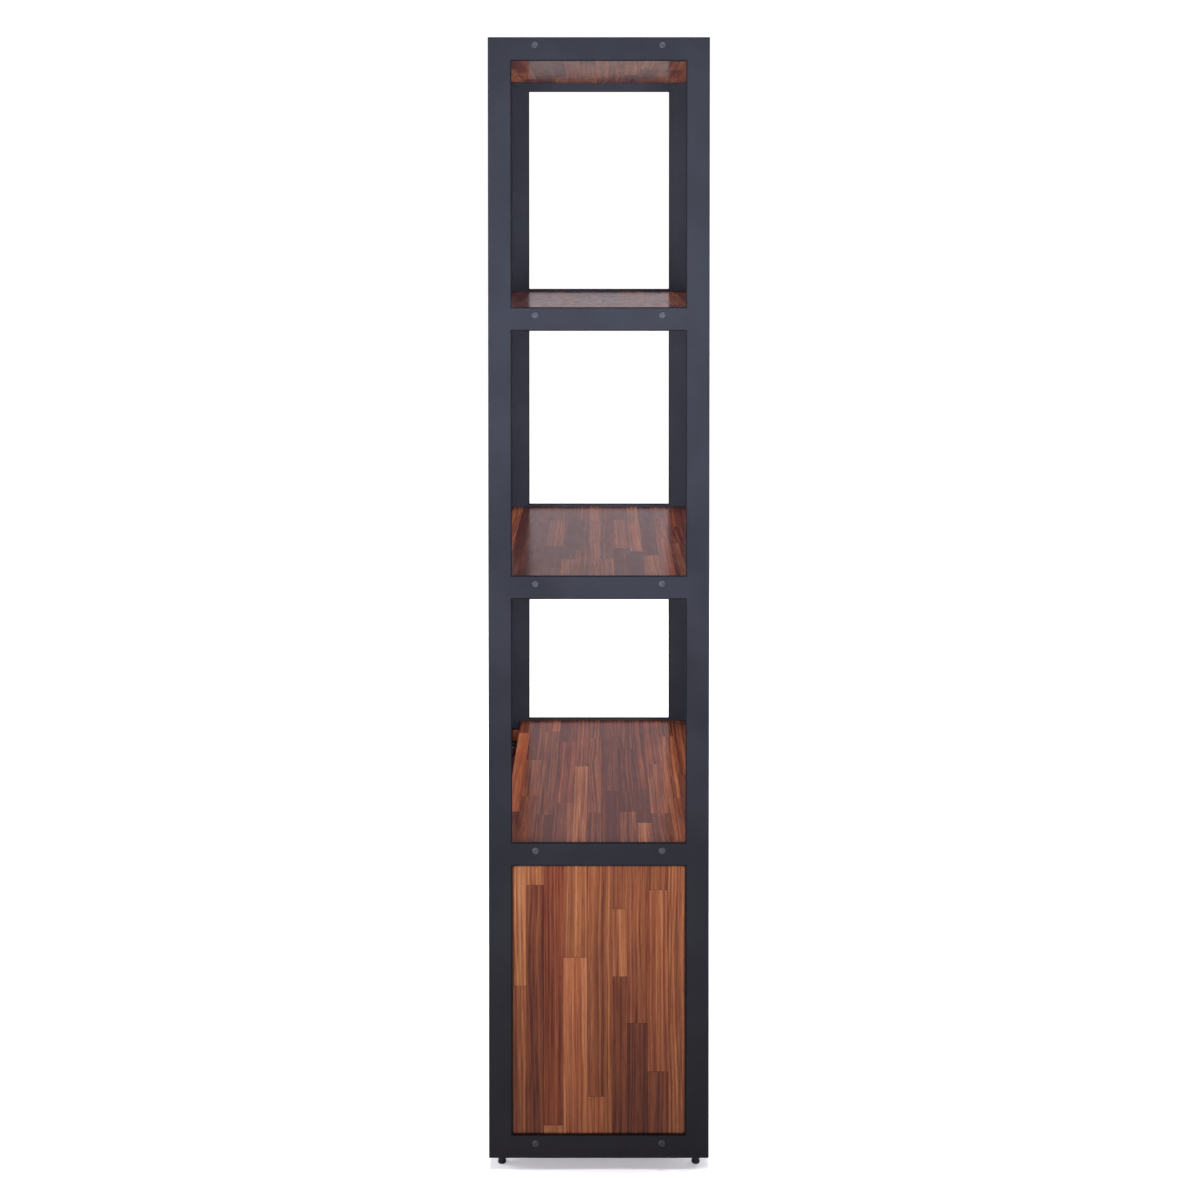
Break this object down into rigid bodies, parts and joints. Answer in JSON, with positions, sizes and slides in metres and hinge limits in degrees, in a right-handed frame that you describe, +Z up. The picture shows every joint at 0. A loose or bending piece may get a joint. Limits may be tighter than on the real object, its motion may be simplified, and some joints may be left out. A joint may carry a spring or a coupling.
{
  "type": "bookcase",
  "caption": "Tall narrow bookcase: black steel ladder ends, stave-wood shelves bolted between them, three open bays over a cupboard with inset doors, on levelling feet.",
  "frame": {"origin": "on the floor under the middle of the whole outline, door pulls included", "axes": "+X along the width, to the right of a person facing the front; +Y from the front to the back; +Z up"},
  "size_m": [0.6166, 0.3736, 1.8288],
  "materials": {
    "powder_coated_steel": "fine satin powder coat, blue-black",
    "stave_wood": "edge-glued hardwood staves under satin lacquer",
    "back_panel_wood": "plywood under satin lacquer",
    "dowel_wood": "plain beech",
    "insert_brass": "turned",
    "black_plastic": "moulded",
    "nylon": "moulded",
    "zinc_steel": "zinc plated"
  },
  "bodies": {
    "frame": {"back_panel": "back_panel_wood", "back_panel_screws": "zinc_steel", "board_bolts_left": "zinc_steel", "board_bolts_right": "zinc_steel", "cupboard_floor": "stave_wood", "cupboard_top": "stave_wood", "door_magnet_left": "black_plastic", "door_magnet_right": "black_plastic", "door_pivot_pins": "zinc_steel", "door_pivot_tabs": "powder_coated_steel", "dowels": "dowel_wood", "end_rail_left_bottom": "powder_coated_steel", "end_rail_left_cupboard": "powder_coated_steel", "end_rail_left_middle": "powder_coated_steel", "end_rail_left_top": "powder_coated_steel", "end_rail_left_upper": "powder_coated_steel", "end_rail_right_bottom": "powder_coated_steel", "end_rail_right_cupboard": "powder_coated_steel", "end_rail_right_middle": "powder_coated_steel", "end_rail_right_top": "powder_coated_steel", "end_rail_right_upper": "powder_coated_steel", "foot_lock_nuts": "zinc_steel", "foot_plates": "powder_coated_steel", "foot_weld_nuts": "zinc_steel", "front_rail_above_doors": "powder_coated_steel", "front_rail_below_doors": "powder_coated_steel", "middle_shelf": "stave_wood", "shelf_pegs": "zinc_steel", "side_panel_left": "stave_wood", "side_panel_right": "stave_wood", "threaded_inserts_left": "insert_brass", "threaded_inserts_right": "insert_brass", "top_board": "stave_wood", "upper_shelf": "stave_wood", "upright_back_left": "powder_coated_steel", "upright_back_right": "powder_coated_steel", "upright_front_left": "powder_coated_steel", "upright_front_right": "powder_coated_steel"},
    "left_door": {"door_left": "stave_wood", "door_pull_left": "powder_coated_steel", "pull_screws_left": "zinc_steel", "door_bushes_left": "nylon", "door_strike_left": "zinc_steel"},
    "right_door": {"door_right": "stave_wood", "door_pull_right": "powder_coated_steel", "pull_screws_right": "zinc_steel", "door_bushes_right": "nylon", "door_strike_right": "zinc_steel"},
    "loose_shelf": {"adjustable_shelf": "stave_wood"},
    "foot_front_left": {"foot_front_left_pad": "black_plastic", "foot_front_left_stud": "zinc_steel"},
    "foot_front_right": {"foot_front_right_pad": "black_plastic", "foot_front_right_stud": "zinc_steel"},
    "foot_back_left": {"foot_back_left_pad": "black_plastic", "foot_back_left_stud": "zinc_steel"},
    "foot_back_right": {"foot_back_right_pad": "black_plastic", "foot_back_right_stud": "zinc_steel"}
  },
  "joints": [
    {"name": "left_door_hinge", "type": "hinge", "parent": "frame", "child": "left_door", "pos_m": [-0.2525, -0.1608, 0.2756], "axis": [0, 0, -1], "range_deg": [0, 110]},
    {"name": "right_door_hinge", "type": "hinge", "parent": "frame", "child": "right_door", "pos_m": [0.2525, -0.1608, 0.2756], "axis": [0, 0, 1], "range_deg": [0, 110]},
    {"name": "loose_shelf_lift", "type": "slide", "parent": "frame", "child": "loose_shelf", "axis": [0, 0, 1], "range_m": [0, 0.16]},
    {"name": "foot_front_left_screw", "type": "slide", "parent": "frame", "child": "foot_front_left", "axis": [0, 0, -1], "range_m": [0, 0.005]},
    {"name": "foot_front_right_screw", "type": "slide", "parent": "frame", "child": "foot_front_right", "axis": [0, 0, -1], "range_m": [0, 0.005]},
    {"name": "foot_back_left_screw", "type": "slide", "parent": "frame", "child": "foot_back_left", "axis": [0, 0, -1], "range_m": [0, 0.005]},
    {"name": "foot_back_right_screw", "type": "slide", "parent": "frame", "child": "foot_back_right", "axis": [0, 0, -1], "range_m": [0, 0.005]}
  ]
}
